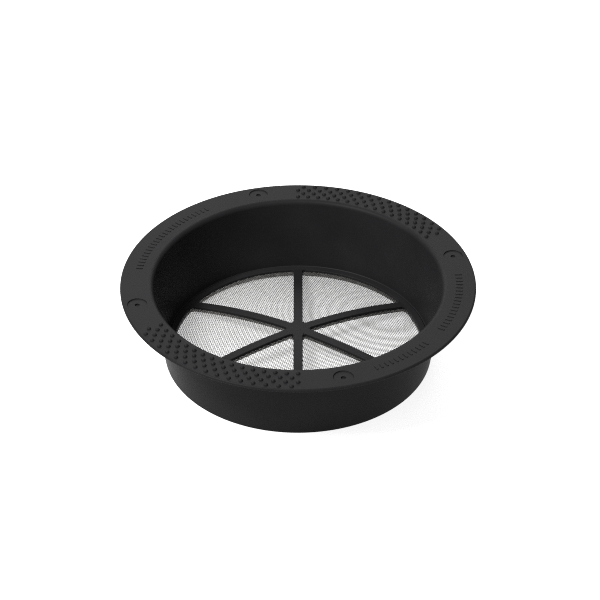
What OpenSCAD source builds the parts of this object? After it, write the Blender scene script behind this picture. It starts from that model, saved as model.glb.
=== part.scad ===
// Drop-in inlet screen for a water tank: a deep flanged basket that hangs in a round hole,
// with a domed mesh screen resting on a seat at its bottom. Millimetres, Z up, base at z = 0.

/* [Basket] */
// Outer diameter of the wall just under the flange, which drops into the tank's hole
neck_d = 198.4; // [120:0.2:300]
// Height from the base to the top of the flange
basket_h = 58; // [40:1:120]
// Thickness of the tapered wall
wall_t = 1.8; // [1.5:0.1:3]
// Slope of the wall, outwards from the base
wall_draft = 7.3; // [4:0.1:9]

/* [Flange] */
// How far the flange reaches out past the wall
flange_w = 20.8; // [17:0.1:30]
// Thickness of the flange
flange_t = 2.1; // [1.8:0.1:3.5]
// Rounding of the flange's two outer edges
flange_edge_r = 0.5; // [0.2:0.1:0.8]
// Radius where the inside of the wall rolls over into the flange
mouth_r = 3.5; // [2:0.1:5]
// Fillet between the wall and the flange's underside
root_r = 1.5; // [0.5:0.1:3]

/* [Seat] */
// Thickness of the lip that carries the screen
lip_t = 1.8; // [1.2:0.1:3]
// How far the lip reaches in under the screen's rim
lip_reach = 3.6; // [2:0.1:4.5]
// Width of the sloping step above the pocket that holds the screen
pocket_step = 0.5; // [0.3:0.1:1]
// Radial clearance around the screen in its pocket
pocket_gap = 0.4; // [0.3:0.05:1]

/* [Screen] */
// Width of the screen's rim
rim_w = 4.6; // [4:0.1:9]
// Thickness of the rim and ribs below the mesh
lower_t = 2.1; // [1.5:0.1:3]
// Thickness of the rim and ribs above the mesh
upper_t = 1.75; // [1.2:0.05:3]
// Thickness of the woven mesh, two wires deep
mesh_t = 0.63; // [0.4:0.01:1.2]
// How far the mesh reaches in between the two rims
mesh_grip = 3; // [1.5:0.1:4.5]
// How far in under the rim the dome starts to rise
foot_cover = 0.4; // [0.2:0.1:1]
// Rise of the dome from the rim to the middle
dome_rise = 10.8; // [4:0.1:20]
// Number of ribs
rib_count = 6; // [3:1:8]
// Width of a rib
rib_w = 6.3; // [3:0.1:9]
// Diameter of the hub where the ribs meet
hub_d = 15; // [12:0.5:30]
// Inside corner radius where a rib meets the rim
rim_corner_r = 2.5; // [1:0.1:5]
// Inside corner radius where a rib meets the hub
hub_corner_r = 0.8; // [0.5:0.1:3]

/* [Screw points] */
// Number of screw points round the flange
screw_count = 4; // [3:1:6]
// Angle of the first one
screw_angle = 15; // [10:1:20]
// Diameter of the flat recess for the screw head
recess_d = 13; // [9:0.5:14]
// Depth of the recess
recess_depth = 0.7; // [0.4:0.1:0.9]
// Diameter of the blind pilot hole in its floor
pilot_d = 3.2; // [2:0.1:4.5]
// Skin left under the pilot hole, which the screw breaks through
pilot_skin = 0.4; // [0.3:0.1:0.6]

/* [Grip bumps] */
// Diameter of a bump
bump_d = 3; // [2:0.1:3.2]
// Height of a bump above the flange
bump_h = 1.35; // [1:0.05:1.5]
// Distance of the outermost row from the flange's edge
bump_inset = 3.55; // [2.5:0.05:5]
// Spacing of the rows
bump_row_step = 4.35; // [4:0.05:5]
// Angle between neighbouring bumps in a row
bump_pitch = 4; // [3.5:0.1:6]
// Angle that a patch of bumps covers
bump_arc = 60; // [20:4:64]
// Angle of the first bump of the first patch
bump_start = 30; // [28:1:32]

/* [Raised ticks] */
// Radial length of a tick
tick_len = 4.6; // [2:0.1:6]
// Width of a tick
tick_w = 1.3; // [0.8:0.1:2]
// Height of a tick above the flange
tick_h = 0.4; // [0.2:0.1:0.8]
// How far the ticks' middle lies inwards from the middle of the flat
tick_shift = 1.6; // [0:0.1:3]
// Angle between neighbouring ticks
tick_pitch = 2; // [1.5:0.1:4]

/* [Hidden] */
$fn = 180;

plastic = "#2b2b2b";
steel = "#c8c8c8";
eps = 0.5;                 // how far joined or cutting shapes run past each other
corner_bite = 0.03;        // how far an inside corner's circle cuts past its two edges
rib_angle = 30;            // direction of the first rib, from +X

// Arcs of raised ticks, as [first angle, last angle]
TICK_ARCS = [[127, 173], [-31, 3], [-63, -41]];

// Wall: the outer face leans out from the base to the neck, and the inner face runs parallel to it
slope = tan(wall_draft);
wall_across = wall_t / cos(wall_draft);
flange_under = basket_h - flange_t;
function outer_r(z) = neck_d / 2 - (flange_under - z) * slope;
function inner_r(z) = outer_r(z) - wall_across;

// Heights of the screen's layers, from the seat up
seat_z = lip_t;
mesh_z = seat_z + lower_t;
upper_z = mesh_z + mesh_t;
screen_z = upper_z + upper_t;

// Plan radii of the screen, from its pocket in
pocket_r = inner_r(screen_z) - pocket_step;
screen_r = pocket_r - pocket_gap;
window_r = screen_r - rim_w;
mesh_r = window_r + mesh_grip;

// The dome is part of a sphere through its foot, a little way in under the rim, and the raised middle
foot_r = window_r + foot_cover;
// Inside corners at the hub, as large as the room between neighbouring ribs lets them be
hub_r = hub_d / 2;
between_ribs = sin(180 / rib_count);
hub_corner_room = (hub_r - rib_w / 2 / between_ribs) / (1 / between_ribs - 1) - 0.2;
hub_fillet_r = min(hub_corner_r, hub_corner_room);
least_fillet_r = 0.3;
dome_r = (foot_r * foot_r + dome_rise * dome_rise) / (2 * dome_rise);
dome_z = mesh_z + dome_rise - dome_r;

// Centre of the rounded mouth, and of the fillet under the flange
mouth_z = basket_h - mouth_r;
mouth_x = inner_r(mouth_z) + mouth_r / cos(wall_draft);
root_z = flange_under - root_r;
root_x = outer_r(root_z) + root_r / cos(wall_draft);

// The flange's flat runs from the mouth to the edge, and what stands on it is set out from these
flange_r = neck_d / 2 + flange_w;
flat_r = (mouth_x + flange_r) / 2;
bump_outer_r = flange_r - bump_inset;
bump_rows = floor((bump_outer_r - bump_d / 2 - mouth_x) / bump_row_step) + 1;
bump_count = floor(bump_arc / bump_pitch) + 1;
tick_r = flat_r - tick_shift;
pilot_z = flange_under + pilot_skin;
recess_z = basket_h - recess_depth;

// Point of a circle where it touches the sloping wall
function wall_touch(x, z, r) = [x - r * cos(wall_draft), z + r * sin(wall_draft)];

// Wall with a square corner at the mouth, the seat lip and the stepped pocket
module wall_section() {
  polygon([
    [outer_r(0), 0],
    [outer_r(flange_under + eps), flange_under + eps],
    [outer_r(flange_under + eps), basket_h],
    [inner_r(basket_h), basket_h],
    [inner_r(screen_z), screen_z],
    [pocket_r, screen_z - pocket_step],
    [pocket_r, seat_z],
    [pocket_r - lip_reach, seat_z],
    [pocket_r - lip_reach, 0]
  ]);
}

// Flange slab with both outer edges rounded
module flange_section() {
  edge_x = flange_r - flange_edge_r;
  start_x = outer_r(flange_under) - eps;
  translate([start_x, flange_under])
    square([edge_x - start_x, flange_t]);
  translate([start_x, flange_under + flange_edge_r])
    square([flange_r - start_x, flange_t - 2 * flange_edge_r]);
  for (z = [flange_under + flange_edge_r, basket_h - flange_edge_r])
    translate([edge_x, z]) circle(flange_edge_r);
}

// What is cut away to roll the mouth over
module mouth_cut() {
  touch = wall_touch(mouth_x, mouth_z, mouth_r);
  difference() {
    polygon([
      [mouth_x, mouth_z],
      touch,
      touch - [eps, 0],
      [inner_r(basket_h) - eps, basket_h + eps],
      [mouth_x, basket_h + eps]
    ]);
    translate([mouth_x, mouth_z]) circle(mouth_r);
  }
}

// Fillet in the corner under the flange
module root_fillet() {
  touch = wall_touch(root_x, root_z, root_r);
  difference() {
    polygon([
      [root_x, root_z],
      touch,
      touch - [eps, 0],
      [outer_r(flange_under) - eps, flange_under + eps],
      [root_x, flange_under + eps]
    ]);
    translate([root_x, root_z]) circle(root_r);
  }
}

module basket_section() {
  difference() {
    union() {
      wall_section();
      flange_section();
      root_fillet();
    }
    mouth_cut();
  }
}

// Two patches of round bumps on opposite sides, in staggered rows counted from the outside
module grip_bumps() {
  for (side = [0, 180], row = [0 : bump_rows - 1]) {
    stagger = (row + 1) % 2;
    for (i = [0 : bump_count - 1 - stagger])
      rotate(side + bump_start + (i + stagger / 2) * bump_pitch)
        translate([bump_outer_r - row * bump_row_step, 0, basket_h + bump_h - bump_d / 2])
          sphere(d = bump_d);
  }
}

// Plain raised ticks along three arcs
module ticks() {
  for (arc = TICK_ARCS, a = [arc[0] : tick_pitch : arc[1]])
    rotate(a)
      translate([tick_r - tick_len / 2, -tick_w / 2, basket_h - eps])
        cube([tick_len, tick_w, tick_h + eps]);
}

// Recess for a screw head with a blind pilot hole in its floor
module screw_points() {
  for (i = [0 : screw_count - 1])
    rotate(screw_angle + i * 360 / screw_count)
      translate([flat_r, 0, 0]) {
        translate([0, 0, recess_z]) cylinder(d = recess_d, h = recess_depth + eps);
        translate([0, 0, pilot_z]) cylinder(d = pilot_d, h = recess_z - pilot_z + eps);
      }
}

// Upright solids with the plan of the rim, the ribs and the hub
module frame_prisms() {
  tall = screen_z + dome_rise + eps;
  difference() {
    cylinder(r = screen_r + eps, h = tall);
    translate([0, 0, -eps]) cylinder(r = window_r, h = tall + 2 * eps);
  }
  cylinder(r = hub_r, h = tall);
  for (i = [0 : rib_count - 1])
    rotate(rib_angle + i * 360 / rib_count) {
      translate([0, -rib_w / 2, 0]) cube([window_r + eps, rib_w, tall]);
      for (side = [-1, 1]) {
        linear_extrude(tall) rim_corner(side);
        if (hub_fillet_r >= least_fillet_r)
          linear_extrude(tall) hub_corner(side);
      }
    }
}

// Rounded inside corner between one edge of a rib and the rim
module rim_corner(side) {
  from_axis = window_r - rim_corner_r + corner_bite;
  cy = rib_w / 2 + rim_corner_r - corner_bite;
  cx = sqrt(from_axis * from_axis - cy * cy);
  reach = (window_r + eps) / from_axis;
  difference() {
    polygon([
      [cx, side * cy],
      [cx * reach, side * cy * reach],
      [window_r + eps, side * (rib_w / 2 - eps)],
      [cx, side * (rib_w / 2 - eps)]
    ]);
    translate([cx, side * cy]) circle(rim_corner_r);
  }
}

// Rounded inside corner between one edge of a rib and the hub
module hub_corner(side) {
  from_axis = hub_r + hub_fillet_r - corner_bite;
  cy = rib_w / 2 + hub_fillet_r - corner_bite;
  cx = sqrt(from_axis * from_axis - cy * cy);
  reach = (hub_r - eps) / from_axis;
  difference() {
    polygon([
      [cx, side * cy],
      [cx, side * (rib_w / 2 - eps)],
      [cx * reach, side * (rib_w / 2 - eps)],
      [cx * reach, side * cy * reach]
    ]);
    translate([cx, side * cy]) circle(hub_fillet_r);
  }
}

// Section of a layer that follows the dome inside its foot and is flat outside it,
// between two distances above the underside of the mesh
module layer_section(low, high, outside_r) {
  intersection() {
    difference() {
      translate([0, dome_z]) circle(dome_r + high);
      translate([0, dome_z]) circle(dome_r + low);
    }
    square([foot_r, screen_z + dome_rise + eps]);
  }
  translate([foot_r, mesh_z + low]) square([outside_r - foot_r, high - low]);
}

// One half of the screen's frame: a layer cut to the plan of rim, ribs and hub
module frame_half(low, high) {
  intersection() {
    rotate_extrude() layer_section(low, high, screen_r);
    frame_prisms();
  }
}

module basket() {
  color(plastic) difference() {
    union() {
      rotate_extrude() basket_section();
      grip_bumps();
      ticks();
    }
    screw_points();
  }
}

module lower_frame() {
  color(plastic) frame_half(-lower_t, 0);
}

module mesh_disc() {
  color(steel) rotate_extrude() layer_section(0, mesh_t, mesh_r);
}

module upper_frame() {
  color(plastic) frame_half(mesh_t, mesh_t + upper_t);
}

basket();
lower_frame();
mesh_disc();
upper_frame();
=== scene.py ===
"""Drop-in inlet screen for a water tank: a flanged basket in moulded plastic, with a domed screen of woven
steel wire held between two moulded frames. The builders work in millimetres, in the CAD's own frame."""
import math

import bpy
import numpy as np
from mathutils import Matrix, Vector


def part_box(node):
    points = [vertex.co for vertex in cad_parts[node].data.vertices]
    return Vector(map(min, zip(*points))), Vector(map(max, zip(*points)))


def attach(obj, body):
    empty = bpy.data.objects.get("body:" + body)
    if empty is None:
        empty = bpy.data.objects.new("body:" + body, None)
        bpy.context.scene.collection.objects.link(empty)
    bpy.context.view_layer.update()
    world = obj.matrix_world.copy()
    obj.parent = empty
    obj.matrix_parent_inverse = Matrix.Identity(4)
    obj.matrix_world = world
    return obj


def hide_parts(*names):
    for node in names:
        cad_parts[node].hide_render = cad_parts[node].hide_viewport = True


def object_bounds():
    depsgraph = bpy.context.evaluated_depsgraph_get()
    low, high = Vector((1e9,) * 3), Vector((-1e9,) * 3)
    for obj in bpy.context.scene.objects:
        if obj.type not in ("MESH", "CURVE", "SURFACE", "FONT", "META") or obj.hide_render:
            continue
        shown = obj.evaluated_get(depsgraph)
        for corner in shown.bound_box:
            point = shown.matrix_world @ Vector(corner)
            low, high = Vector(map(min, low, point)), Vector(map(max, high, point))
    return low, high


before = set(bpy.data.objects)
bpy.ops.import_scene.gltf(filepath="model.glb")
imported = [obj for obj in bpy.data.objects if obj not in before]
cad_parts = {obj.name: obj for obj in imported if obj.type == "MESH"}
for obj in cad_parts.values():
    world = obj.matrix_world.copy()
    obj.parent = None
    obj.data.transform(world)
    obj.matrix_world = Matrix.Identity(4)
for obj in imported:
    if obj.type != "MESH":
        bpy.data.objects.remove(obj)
cad_box = [list(map(float, corner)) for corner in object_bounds()]

MM = 0.001
basket_top = np.array(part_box("basket")[1]) / MM
upper_top = np.array(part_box("upper_frame")[1]) / MM
mesh_top = np.array(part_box("mesh_disc")[1]) / MM

# ---------------------------------------------------------------- sizes in millimetres
TURN_STEPS = 288          # faces round a turned surface
ARC_STEPS = 6             # faces round a rounded edge
SHARP_ANGLE = 32          # degrees; an edge that turns further stays sharp
FLAT_WEIGHT = 80          # how strongly a flat face holds its shading

# Basket
FLANGE_R = basket_top[0]
BUMP_H = 1.35
TOP_Z = basket_top[2] - BUMP_H
FLANGE_W = 20.8
FLANGE_T = 2.1
WALL_T = 1.8
DRAFT = math.radians(7.3)
NECK_R = FLANGE_R - FLANGE_W
MOUTH_R = 3.5
ROOT_R = 1.5
BROW_R = 1.2              # the flange's outer edge, above
EDGE_R = 0.5              # the same edge, below, and the wall's foot
LIP_EDGE_R = 0.3
LIP_T = 1.8
LIP_REACH = 3.6
POCKET_STEP = 0.5
POCKET_GAP = 0.4
SMALL_R = 0.25            # the slight rounding of the seat's corners

# Screw points, grip bumps and ticks on the flange
SCREW_ANGLES = (15, 105, 195, 285)
RECESS_R = 6.5
RECESS_DEPTH = 0.7
PILOT_R = 1.6
PILOT_SKIN = 0.4
BUMP_R = 1.5
BUMP_INSET = 3.55
BUMP_ROW_STEP = 4.35
BUMP_ROWS = 4
BUMP_COUNT = 16
BUMP_PITCH = 4
BUMP_START = 30
TICK_ARCS = ((127, 173), (-31, 3), (-63, -41))
TICK_PITCH = 2
TICK_SIZE = (4.6, 1.3, 0.4)
TICK_SHIFT = 1.6

# Screen
SEAT_Z = LIP_T
SCREEN_R = upper_top[0]
RIM_W = 4.6
LOWER_T = 2.1
UPPER_T = 1.75
WINDOW_R = SCREEN_R - RIM_W
MESH_Z = SEAT_Z + LOWER_T
DOME_RISE = 10.8
FOOT_COVER = 0.4          # how far under the rim the dome starts to rise
FOOT_R = WINDOW_R + FOOT_COVER
DOME_R = (FOOT_R ** 2 + DOME_RISE ** 2) / (2 * DOME_RISE)
RIB_W = 6.3
RIB_ANGLES = tuple(range(30, 390, 60))
HUB_R = 7.5
RIM_CORNER_R = 2.5
HUB_CORNER_R = 0.8
FRAME_EDGE = 0.45         # the rounding along the rim, ribs and hub
HUB_EDGE_MORE = 0.2       # the hub is rounded by this much more
INTO_HUB = 1.2            # how far a rib runs on into the hub, and under the rim
INTO_RIM = 0.8

# Woven wire
WIRE_D = 0.315
WIRE_PITCH = 1.27
WIRE_ANGLE = math.radians(15)
WIRE_SIDES = 6
MESH_R = mesh_top[0] - WIRE_D
MESH_T = 2 * WIRE_D
UPPER_Z = MESH_Z + MESH_T
SCREEN_TOP = UPPER_Z + UPPER_T


def outer_r(z):
    """Radius of the wall's outer face: it leans out from the base to the neck."""
    return NECK_R - (TOP_Z - FLANGE_T - z) * math.tan(DRAFT)


def inner_r(z):
    """Radius of the wall's inner face, parallel to the outer one."""
    return outer_r(z) - WALL_T / math.cos(DRAFT)


def dome_z(r, above):
    """Height at radius r of the surface that lies a distance above the underside of the mesh: part of a
    sphere inside the dome's foot, and level outside it."""
    centre = MESH_Z + DOME_RISE - DOME_R
    return centre + np.sqrt((DOME_R + above) ** 2 - np.minimum(r, FOOT_R) ** 2)


# ---------------------------------------------------------------- surfaces
def new_mesh(name, points, faces):
    """Object with its mesh in place: points in millimetres, faces as arrays of corner numbers."""
    data = bpy.data.meshes.new(name)
    data.from_pydata((np.asarray(points, float) * MM).tolist(), [], [list(map(int, f)) for f in faces])
    data.update()
    piece = bpy.data.objects.new(name, data)
    bpy.context.scene.collection.objects.link(piece)
    return piece


def rounded(corners, steps=ARC_STEPS):
    """Closed profile: each corner (r, z, radius) becomes an arc that touches its two sides. The arc's points
    are the centre plus the radius times a direction turned evenly from one side's normal to the other's."""
    out = []
    for i, (x, z, radius) in enumerate(corners):
        here = np.array((x, z), float)
        before = np.array(corners[i - 1][:2], float) - here
        after = np.array(corners[(i + 1) % len(corners)][:2], float) - here
        if radius <= 0:
            out.append(here[None])
            continue
        before, after = before / np.linalg.norm(before), after / np.linalg.norm(after)
        half = math.acos(np.clip(before @ after, -1, 1)) / 2
        middle = (before + after) / np.linalg.norm(before + after)
        centre = here + middle * radius / math.sin(half)
        first = here + before * radius / math.tan(half) - centre
        last = here + after * radius / math.tan(half) - centre
        total = math.pi - 2 * half
        t = np.linspace(0, 1, steps + 1)[:, None]
        out.append(centre + (np.sin((1 - t) * total) * first + np.sin(t * total) * last) / math.sin(total))
    return np.concatenate(out)


def loop_faces(rows, columns, wrap_rows=True):
    """Four-cornered faces of a grid whose columns close on themselves, and whose rows do too if wrap_rows."""
    i, j = np.meshgrid(np.arange(rows if wrap_rows else rows - 1), np.arange(columns), indexing="ij")
    i2, j2 = (i + 1) % rows, (j + 1) % columns
    corners = [i * columns + j, i2 * columns + j, i2 * columns + j2, i * columns + j2]
    return np.stack(corners, -1).reshape(-1, 4)


def turned_ring(name, profile, steps=TURN_STEPS):
    """Closed ring: each profile point (r, z), taken clockwise, goes to (r cos a, r sin a, z) at even
    angles a."""
    a = np.arange(steps) * 2 * math.pi / steps
    r, z = profile[:, 0], profile[:, 1]
    grid = np.stack([np.outer(np.cos(a), r), np.outer(np.sin(a), r), np.tile(z, (steps, 1))], -1)
    return new_mesh(name, grid.reshape(-1, 3), loop_faces(steps, len(profile))[:, ::-1])


def turned_button(profile, steps, centres=((0.0, 0.0),)):
    """Points and faces of closed buttons: each profile point (r, z), from the low pole to the high one, goes
    to (x + r cos a, y + r sin a, z) round each centre (x, y). The poles are single points with fans round
    them."""
    a = np.arange(steps) * 2 * math.pi / steps
    rings = profile[1:-1]
    grid = np.stack([np.outer(rings[:, 0], np.cos(a)), np.outer(rings[:, 0], np.sin(a)),
                     np.repeat(rings[:, 1:], steps, 1)], -1).reshape(-1, 3)
    one = np.concatenate([[(0, 0, profile[0, 1])], grid, [(0, 0, profile[-1, 1])]])
    j = np.arange(steps)
    j2 = (j + 1) % steps
    last = 1 + (len(rings) - 1) * steps
    side = loop_faces(len(rings), steps, False)[:, ::-1] + 1
    low = np.stack([np.zeros(steps, int), 1 + j2, 1 + j], -1)
    high = np.stack([np.full(steps, len(one) - 1), last + j, last + j2], -1)
    shift = np.c_[np.asarray(centres, float), np.zeros(len(centres))]
    points = (shift[:, None] + one[None]).reshape(-1, 3)
    starts = (np.arange(len(centres)) * len(one))[:, None, None]
    faces = [f for part in (side, low, high) for f in (starts + part[None]).reshape(-1, part.shape[1])]
    return points, faces


def cut_or_join(piece, tool, how):
    """Takes the tool away from the piece or joins it on, which leaves one closed shell."""
    step = piece.modifiers.new(how.lower(), "BOOLEAN")
    step.operation, step.solver, step.object = how, "MANIFOLD", tool
    made = bpy.data.meshes.new_from_object(piece.evaluated_get(bpy.context.evaluated_depsgraph_get()))
    made.name = piece.name
    old = piece.data
    piece.modifiers.clear()
    piece.data = made
    bpy.data.meshes.remove(old)
    bpy.data.meshes.remove(tool.data)


def smooth(piece):
    """Smooth shading that breaks at sharp edges and keeps the flats flat."""
    piece.data.shade_smooth()
    piece.data.set_sharp_from_angle(angle=math.radians(SHARP_ANGLE))
    flats = piece.modifiers.new("flats", "WEIGHTED_NORMAL")
    flats.keep_sharp, flats.weight = True, FLAT_WEIGHT
    return piece


# ---------------------------------------------------------------- basket
def basket_profile():
    """Clockwise profile of the moulding, from the lip's inner foot: seat, pocket, step, wall, rolled mouth,
    flange, fillet under it and outer wall."""
    pocket_r = SCREEN_R + POCKET_GAP
    return rounded([
        (pocket_r - LIP_REACH, 0, LIP_EDGE_R),
        (pocket_r - LIP_REACH, LIP_T, LIP_EDGE_R),
        (pocket_r, LIP_T, SMALL_R),
        (pocket_r, SCREEN_TOP - POCKET_STEP, SMALL_R),
        (inner_r(SCREEN_TOP), SCREEN_TOP, SMALL_R),
        (inner_r(TOP_Z), TOP_Z, MOUTH_R),
        (FLANGE_R, TOP_Z, BROW_R),
        (FLANGE_R, TOP_Z - FLANGE_T, EDGE_R),
        (outer_r(TOP_Z - FLANGE_T), TOP_Z - FLANGE_T, ROOT_R),
        (outer_r(0), 0, EDGE_R),
    ])


def polar(angles, radii):
    """Plan positions at the angles, in degrees, and radii."""
    a = np.radians(np.asarray(angles, float))
    return np.stack([np.cos(a) * radii, np.sin(a) * radii], -1)


def flat_middle_r():
    """Radius halfway between the mouth's roll and the flange's edge."""
    return (inner_r(TOP_Z - MOUTH_R) + MOUTH_R / math.cos(DRAFT) + FLANGE_R) / 2


def screw_cutters():
    """Stepped buttons that leave a shallow recess with an eased rim and a blind pilot hole in its floor."""
    floor_z, pilot_z = TOP_Z - RECESS_DEPTH, TOP_Z - FLANGE_T + PILOT_SKIN
    profile = np.array([
        (0, pilot_z), (PILOT_R, pilot_z), (PILOT_R, floor_z - 0.12), (PILOT_R + 0.12, floor_z),
        (RECESS_R - 0.12, floor_z), (RECESS_R, floor_z + 0.12), (RECESS_R, TOP_Z - 0.22),
        (RECESS_R + 0.06, TOP_Z - 0.08), (RECESS_R + 0.2, TOP_Z + 0.02), (RECESS_R + 0.2, TOP_Z + 1),
        (0, TOP_Z + 1)])
    points, faces = turned_button(profile, 64, polar(SCREW_ANGLES, flat_middle_r()))
    return new_mesh("screw_cutters", points, faces)


def grip_bumps():
    """Domes in two patches of staggered rows: part of a sphere, from just below the flange's top to its
    crown."""
    centres = []
    for side in (0, 180):
        for row in range(BUMP_ROWS):
            stagger = (row + 1) % 2
            steps = np.arange(BUMP_COUNT - stagger) + stagger / 2
            angles = side + BUMP_START + steps * BUMP_PITCH
            centres.append(polar(angles, np.full(len(angles), FLANGE_R - BUMP_INSET - row * BUMP_ROW_STEP)))
    up = np.radians(np.linspace(-12, 90, 7))
    middle = TOP_Z + BUMP_H - BUMP_R
    profile = np.concatenate([[(0, middle + BUMP_R * np.sin(up[0]))],
                              np.stack([BUMP_R * np.cos(up[:-1]), middle + BUMP_R * np.sin(up[:-1])], -1),
                              [(0, middle + BUMP_R)]])
    points, faces = turned_button(profile, 16, np.concatenate(centres))
    return new_mesh("grip_bumps", points, faces)


def raised_ticks():
    """Low bars in three arcs: a rounded rectangle in plan, drawn in slightly at the top, with flat ends."""
    length, width, height = TICK_SIZE
    levels = ((-0.4, 0.0), (height - 0.14, 0.0), (height - 0.04, 0.05), (height, 0.16))
    corner, quarter = 0.35, np.radians(np.linspace(0, 90, 4))
    outline = []
    for k, (sx, sy) in enumerate(((1, 1), (-1, 1), (-1, -1), (1, -1))):
        a = quarter + k * math.pi / 2
        outline.append(np.stack([sx * (length / 2 - corner) + corner * np.cos(a),
                                 sy * (width / 2 - corner) + corner * np.sin(a)], -1))
    outline = np.concatenate(outline)
    count = len(outline)
    sunk = np.stack([np.c_[outline * (1 - inset / np.array((length / 2, width / 2))),
                           np.full(count, TOP_Z + z)] for z, inset in levels]).reshape(-1, 3)
    angles = np.concatenate([np.arange(first, last + 0.01, TICK_PITCH) for first, last in TICK_ARCS])
    a = np.radians(angles)
    middle = flat_middle_r() - TICK_SHIFT
    x = (sunk[None, :, 0] + middle) * np.cos(a)[:, None] - sunk[None, :, 1] * np.sin(a)[:, None]
    y = (sunk[None, :, 0] + middle) * np.sin(a)[:, None] + sunk[None, :, 1] * np.cos(a)[:, None]
    points = np.stack([x, y, np.broadcast_to(sunk[None, :, 2], x.shape)], -1).reshape(-1, 3)
    side = loop_faces(len(levels), count, False)[:, ::-1]
    foot, crown = np.arange(count)[::-1], np.arange(count) + (len(levels) - 1) * count
    starts = np.arange(len(a)) * len(sunk)
    faces = [f + start for start in starts for part in (side, [foot], [crown]) for f in part]
    return new_mesh("raised_ticks", points, faces)


# ---------------------------------------------------------------- screen frame
def rib_half_width(r):
    """Half the rib's width: constant, and widening in quarter circles where it meets the rim and the hub."""
    def flare(gap, radius):
        near = np.clip(gap / radius, 0, 1)
        return radius * (1 - np.sqrt(1 - (1 - near) ** 2))
    wide = RIB_W / 2 + flare(WINDOW_R - r, RIM_CORNER_R) + flare(r - HUB_R, HUB_CORNER_R)
    return np.minimum(wide, np.maximum(r, 1) * math.tan(math.radians(29)))


def ribs(name, low, high, edge, edge_up):
    """Ribs along the dome: a section between two distances from the mesh's underside, its outer edges
    rounded, carried along each rib's line with the half width of its station."""
    stations = np.unique(np.round(np.concatenate([
        np.linspace(HUB_R - INTO_HUB, HUB_R, 2),
        HUB_R + HUB_CORNER_R * (1 - np.cos(np.linspace(0, math.pi / 2, 6))),
        np.linspace(HUB_R + HUB_CORNER_R, WINDOW_R - RIM_CORNER_R, 30),
        WINDOW_R - RIM_CORNER_R * (1 - np.cos(np.linspace(math.pi / 2, 0, 8))), [WINDOW_R + INTO_RIM]]), 3))
    turn = np.linspace(0, math.pi / 2, 5)
    tall = high - low
    # one side of the section from the square edge to the rounded one: (inset, height)
    arc = np.stack([edge * (1 - np.cos(turn)), tall - edge + edge * np.sin(turn)], -1)
    right = np.concatenate([[(0, 0)], arc])
    left = right[::-1]
    inset = np.concatenate([right[:, 0], left[:, 0]])
    height = np.concatenate([right[:, 1], left[:, 1]])
    sign = np.concatenate([np.ones(len(right)), -np.ones(len(left))])
    if not edge_up:
        height = tall - height
    half = rib_half_width(stations)
    y = sign[None] * (half[:, None] - inset[None])
    x = np.broadcast_to(stations[:, None], y.shape)
    along = np.hypot(x, y)
    z = np.stack([dome_z(along[:, k], low + height[k]) for k in range(len(height))], -1)
    points, faces = [], []
    count = len(height)
    grid = loop_faces(len(stations), count, False)
    if edge_up:
        grid = grid[:, ::-1]
    first, last = np.arange(count), np.arange(count) + (len(stations) - 1) * count
    first, last = (first[::-1], last) if edge_up else (first, last[::-1])
    for k, angle in enumerate(RIB_ANGLES):
        a = math.radians(angle)
        turned = [x * math.cos(a) - y * math.sin(a), x * math.sin(a) + y * math.cos(a), z]
        points.append(np.stack(turned, -1).reshape(-1, 3))
        start = k * len(stations) * count
        faces += [f + start for f in grid] + [first + start, last + start]
    return new_mesh(name, np.concatenate(points), faces)


def hub(name, low, high, edge, edge_up):
    """Button in the middle of the dome, its outer edge rounded and its face following the dome."""
    r = np.linspace(0, HUB_R - edge, 5)
    turn = np.linspace(0, math.pi / 2, 6)
    if edge_up:
        top = np.stack([r[::-1], dome_z(r[::-1], high)], -1)
        up = turn[:-1]
        arc = np.stack([HUB_R - edge + edge * np.cos(up), dome_z(HUB_R, high) - edge + edge * np.sin(up)], -1)
        foot = np.array([(0, dome_z(0, low) - 0.1), (HUB_R, dome_z(HUB_R, low) - 0.05)])
        profile = np.concatenate([foot, arc, top])
    else:
        under = np.stack([r, dome_z(r, low)], -1)
        up = turn[1:]
        arc = np.stack([HUB_R - edge + edge * np.sin(up), dome_z(HUB_R, low) + edge - edge * np.cos(up)], -1)
        cap = np.array([(HUB_R, dome_z(HUB_R, high)), (0, dome_z(0, high))])
        profile = np.concatenate([under, arc, cap])
    points, faces = turned_button(profile, 96)
    return new_mesh(name, points, faces)


def frame_half(name, low, high, rim_corners, edge, edge_up):
    """Rim, ribs and hub joined in one moulding."""
    piece = turned_ring(name, rounded(rim_corners))
    cut_or_join(piece, ribs(name + "_ribs", low, high, edge, edge_up), "UNION")
    cut_or_join(piece, hub(name + "_hub", low, high, edge + HUB_EDGE_MORE, edge_up), "UNION")
    return piece


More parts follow.
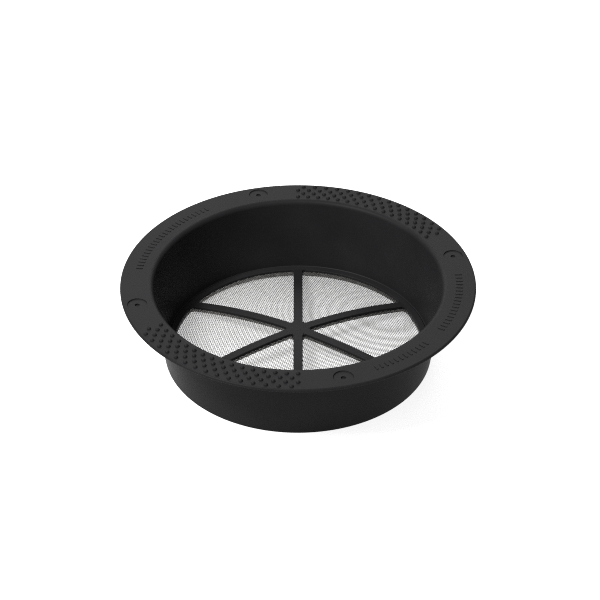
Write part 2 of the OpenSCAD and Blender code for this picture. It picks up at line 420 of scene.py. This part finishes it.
# ---------------------------------------------------------------- woven wire
def woven_wires(name, angle, shift, low_side, high_side):
    """Straight wires in plan, a pitch apart, laid over the dome. Each one's height is the dome's middle plus
    a cosine of one pitch per half wave, opposite on neighbouring wires, so that it passes over and under.
    Round each station of a wire a six-sided ring stands square to its line."""
    along = np.array((math.cos(angle), math.sin(angle)))
    across = np.array((-math.sin(angle), math.cos(angle)))
    reach = int(MESH_R / WIRE_PITCH)
    k = np.arange(-reach, reach + 1)
    k = k[(k >= low_side * reach) & (k < high_side * reach + (high_side == 1))]
    j = np.arange(-2 * reach - 2, 2 * reach + 3)
    s, t = j * WIRE_PITCH / 2, k * WIRE_PITCH
    r = np.hypot(s[None], t[:, None])
    inside = r < MESH_R
    wave = WIRE_D / 2 * np.cos(math.pi * (s[None] / WIRE_PITCH + k[:, None] + shift))
    z = dome_z(r, WIRE_D) + wave
    slope = np.gradient(z, WIRE_PITCH / 2, axis=1)
    length = np.sqrt(1 + slope ** 2)
    turn = (np.arange(WIRE_SIDES) + 0.5) * 2 * math.pi / WIRE_SIDES
    sideways, upward = WIRE_D / 2 * np.cos(turn), WIRE_D / 2 * np.sin(turn)
    s3 = s[None, :, None] - upward * (slope / length)[..., None]
    t3 = t[:, None, None] + sideways + 0 * s3
    z3 = z[..., None] + upward / length[..., None]
    xy = s3[..., None] * along + t3[..., None] * across
    points = np.concatenate([xy, z3[..., None]], -1)
    number = np.full(inside.shape, -1)
    number[inside] = np.arange(inside.sum())
    pair = inside[:, :-1] & inside[:, 1:]
    a, b = number[:, :-1][pair] * WIRE_SIDES, number[:, 1:][pair] * WIRE_SIDES
    m = np.arange(WIRE_SIDES)
    m2 = (m + 1) % WIRE_SIDES
    walls = np.stack([a[:, None] + m, a[:, None] + m2, b[:, None] + m2, b[:, None] + m], -1).reshape(-1, 4)
    firsts = number[np.arange(len(k)), inside.argmax(1)]
    lasts = number[np.arange(len(k)), inside.shape[1] - 1 - inside[:, ::-1].argmax(1)]
    caps = np.concatenate([firsts[:, None] * WIRE_SIDES + m[::-1], lasts[:, None] * WIRE_SIDES + m])
    data = bpy.data.meshes.new(name)
    kept = points[inside].reshape(-1, 3) * MM
    data.vertices.add(len(kept))
    data.vertices.foreach_set("co", kept.ravel().astype(np.float32))
    corners = np.concatenate([walls.ravel(), caps.ravel()])
    data.loops.add(len(corners))
    data.loops.foreach_set("vertex_index", corners.astype(np.int32))
    starts = np.concatenate([np.arange(len(walls)) * 4, len(walls) * 4 + np.arange(len(caps)) * WIRE_SIDES])
    data.polygons.add(len(starts))
    data.polygons.foreach_set("loop_start", starts.astype(np.int32))
    data.update(calc_edges=True)
    data.shade_smooth()
    piece = bpy.data.objects.new(name, data)
    bpy.context.scene.collection.objects.link(piece)
    return piece


# ---------------------------------------------------------------- materials
GRAIN = 0.0006            # metres, as are the two below
CLOUDING = 0.03
SHEEN_PATCH = 0.004


def colour(hex_code):
    """sRGB hex to the linear colour that the shader wants."""
    parts = [int(hex_code[i:i + 2], 16) / 255 for i in (1, 3, 5)]
    return (*[p / 12.92 if p <= 0.04045 else ((p + 0.055) / 1.055) ** 2.4 for p in parts], 1)


def add(tree, kind, links=(), stops=(), **settings):
    """A node of that kind. Settings name its properties or its input sockets, links are (socket, output), and
    stops are a colour ramp's (place, colour or grey)."""
    node = tree.nodes.new("ShaderNode" + kind)
    for key, value in settings.items():
        if hasattr(node, key):
            setattr(node, key, value)
        else:
            node.inputs[key].default_value = value
    for (place, value), element in zip(stops, node.color_ramp.elements if stops else ()):
        element.position = place
        element.color = value if isinstance(value, tuple) else (value, value, value, 1)
    for socket, output in links:
        tree.links.new(output, node.inputs[socket])
    return node


def new_material(name):
    """An empty node material and its node tree."""
    material = bpy.data.materials.new(name)
    material.use_nodes = True
    material.node_tree.nodes.clear()
    return material, material.node_tree


def moulded_polypropylene():
    """Black polypropylene from a spark-eroded mould: a fine even grain softens the gloss to satin, and faint
    flow clouding a few centimetres across shifts it slightly. The grain is drawn coarser than a real one, so
    that it shows at all. The IOR is well under polypropylene's own, about 1.49, to keep the walls dark."""
    material, tree = new_material("moulded_polypropylene")
    where = add(tree, "TexCoord").outputs["Object"]
    grain = add(tree, "TexNoise", [("Vector", where)], Scale=1 / GRAIN, Detail=3.0, Roughness=0.55)
    flow = add(tree, "TexNoise", [("Vector", where)], Scale=1 / CLOUDING, Detail=4.0, Roughness=0.5)
    cloud = [("Fac", flow.outputs["Fac"])]
    tint = add(tree, "ValToRGB", cloud, [(0.3, colour("#171718")), (0.7, colour("#1b1b1c"))])
    gloss = add(tree, "ValToRGB", cloud, [(0.3, 0.44), (0.7, 0.5)])
    bump = add(tree, "Bump", [("Height", grain.outputs["Fac"])], Strength=0.25, Distance=GRAIN / 10)
    skin = add(tree, "BsdfPrincipled", [
        ("Base Color", tint.outputs["Color"]), ("Roughness", gloss.outputs["Color"]),
        ("Normal", bump.outputs["Normal"])], IOR=1.1)
    add(tree, "OutputMaterial", [("Surface", skin.outputs["BSDF"])])
    return material


def drawn_stainless():
    """Drawn stainless wire: grey metal with a soft sheen from the die, and small changes of gloss and tint
    every few millimetres. It is set darker than clean stainless, to keep the weave from glaring."""
    material, tree = new_material("drawn_stainless")
    where = add(tree, "TexCoord").outputs["Object"]
    patch = add(tree, "TexNoise", [("Vector", where)], Scale=1 / SHEEN_PATCH, Detail=3.0, Roughness=0.6)
    cloud = [("Fac", patch.outputs["Fac"])]
    tint = add(tree, "ValToRGB", cloud, [(0.3, colour("#5a5957")), (0.7, colour("#737270"))])
    gloss = add(tree, "ValToRGB", cloud, [(0.3, 0.42), (0.7, 0.5)])
    metal = add(tree, "BsdfPrincipled", [
        ("Base Color", tint.outputs["Color"]), ("Roughness", gloss.outputs["Color"])], Metallic=1.0)
    add(tree, "OutputMaterial", [("Surface", metal.outputs["BSDF"])])
    return material


def lit_table():
    """White acrylic lit from below, as a product photographer's table."""
    material, tree = new_material("lit_table")
    sheet = add(tree, "BsdfPrincipled", **{"Base Color": colour("#a8a8a8"), "Roughness": 0.6,
                                           "Emission Color": colour("#ffffff"), "Emission Strength": 0.82})
    add(tree, "OutputMaterial", [("Surface", sheet.outputs["BSDF"])])
    return material


# ---------------------------------------------------------------- the pieces
plastic, steel = moulded_polypropylene(), drawn_stainless()


def dress(piece, material, body):
    """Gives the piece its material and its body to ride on."""
    piece.data.materials.clear()
    piece.data.materials.append(material)
    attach(piece, body)


basket = turned_ring("basket_moulding", basket_profile())
cut_or_join(basket, screw_cutters(), "DIFFERENCE")
cut_or_join(basket, grip_bumps(), "UNION")
cut_or_join(basket, raised_ticks(), "UNION")
dress(smooth(basket), plastic, "basket")
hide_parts("basket")

upper = frame_half("upper_frame_moulding", MESH_T, MESH_T + UPPER_T, [
    (WINDOW_R, UPPER_Z, 0), (WINDOW_R, SCREEN_TOP, FRAME_EDGE), (SCREEN_R, SCREEN_TOP, FRAME_EDGE),
    (SCREEN_R, UPPER_Z, 0)], FRAME_EDGE, True)
dress(smooth(upper), plastic, "screen")
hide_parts("upper_frame")

lower = frame_half("lower_frame_moulding", -LOWER_T, 0, [
    (WINDOW_R, SEAT_Z, FRAME_EDGE), (WINDOW_R, MESH_Z, 0), (SCREEN_R, MESH_Z, 0),
    (SCREEN_R, SEAT_Z, FRAME_EDGE)], FRAME_EDGE, False)
dress(smooth(lower), plastic, "screen")
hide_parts("lower_frame")

WIRE_PARTS = ((-1, -0.33), (-0.33, 0.33), (0.33, 1))
for set_name, angle, shift in (("warp", WIRE_ANGLE, 0), ("weft", WIRE_ANGLE + math.pi / 2, 1)):
    for part, (low_side, high_side) in enumerate(WIRE_PARTS):
        wires = woven_wires(f"mesh_{set_name}_{part + 1}", angle, shift, low_side, high_side)
        dress(wires, steel, "screen")
        if (set_name, part) == ("warp", 0):
            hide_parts("mesh_disc")

# ---------------------------------------------------------------- floor, light and camera
FLOOR_SIZE = 6.0
FLOOR_GAP = 0.0002        # keeps the basket's foot and the floor from sharing a plane
bpy.ops.mesh.primitive_plane_add(size=FLOOR_SIZE, location=(0, 0, cad_box[0][2] - FLOOR_GAP))
floor = bpy.context.object
floor.name = "floor"
floor.data.materials.append(lit_table())

world = bpy.data.worlds.new("studio")
bpy.context.scene.world = world
world.use_nodes = True
world.node_tree.nodes["Background"].inputs["Color"].default_value = (1, 1, 1, 1)
world.node_tree.nodes["Background"].inputs["Strength"].default_value = 0.25


def soft_light(name, place, width, height, radiance, aim=(0, 0, 0.03)):
    """Rectangular softbox at a place, in metres, turned to face the object. Its power is its radiance times
    its area times pi."""
    data = bpy.data.lights.new(name, "AREA")
    data.shape, data.size, data.size_y = "RECTANGLE", width, height
    data.energy = radiance * width * height * math.pi
    lamp = bpy.data.objects.new(name, data)
    bpy.context.scene.collection.objects.link(lamp)
    lamp.location = place
    ray = np.array(aim) - np.array(place)
    tilt = math.acos(-ray[2] / np.linalg.norm(ray))
    lamp.rotation_euler = (tilt, 0, math.atan2(ray[1], ray[0]) - math.pi / 2)


soft_light("key_left", (-0.95, -0.6, 1.65), 0.55, 0.55, 84.0)
soft_light("sky_back", (-0.5, 2.0, 1.4), 3.0, 1.6, 4.2)
soft_light("fill_front", (0.4, -1.1, 1.8), 1.2, 1.2, 3.0)

CAMERA_ELEVATION = math.radians(35.12)
CAMERA_DISTANCE = 1.2649
camera_data = bpy.data.cameras.new("camera")
camera_data.sensor_width, camera_data.lens = 36.0, 112.4
camera_data.shift_x, camera_data.shift_y = 0.0032, -0.0345
camera_data.clip_start, camera_data.clip_end = 0.05, 50
camera = bpy.data.objects.new("camera", camera_data)
bpy.context.scene.collection.objects.link(camera)
camera.location = (0, -CAMERA_DISTANCE * math.cos(CAMERA_ELEVATION),
                   TOP_Z * MM + CAMERA_DISTANCE * math.sin(CAMERA_ELEVATION))
camera.rotation_euler = (math.pi / 2 - CAMERA_ELEVATION, 0, 0)
bpy.context.scene.camera = camera
bpy.context.scene.view_settings.view_transform = "Standard"
bpy.context.scene.cycles.use_denoising = False      # it would wipe the weave out
bpy.context.scene.cycles.filter_width = 1.1
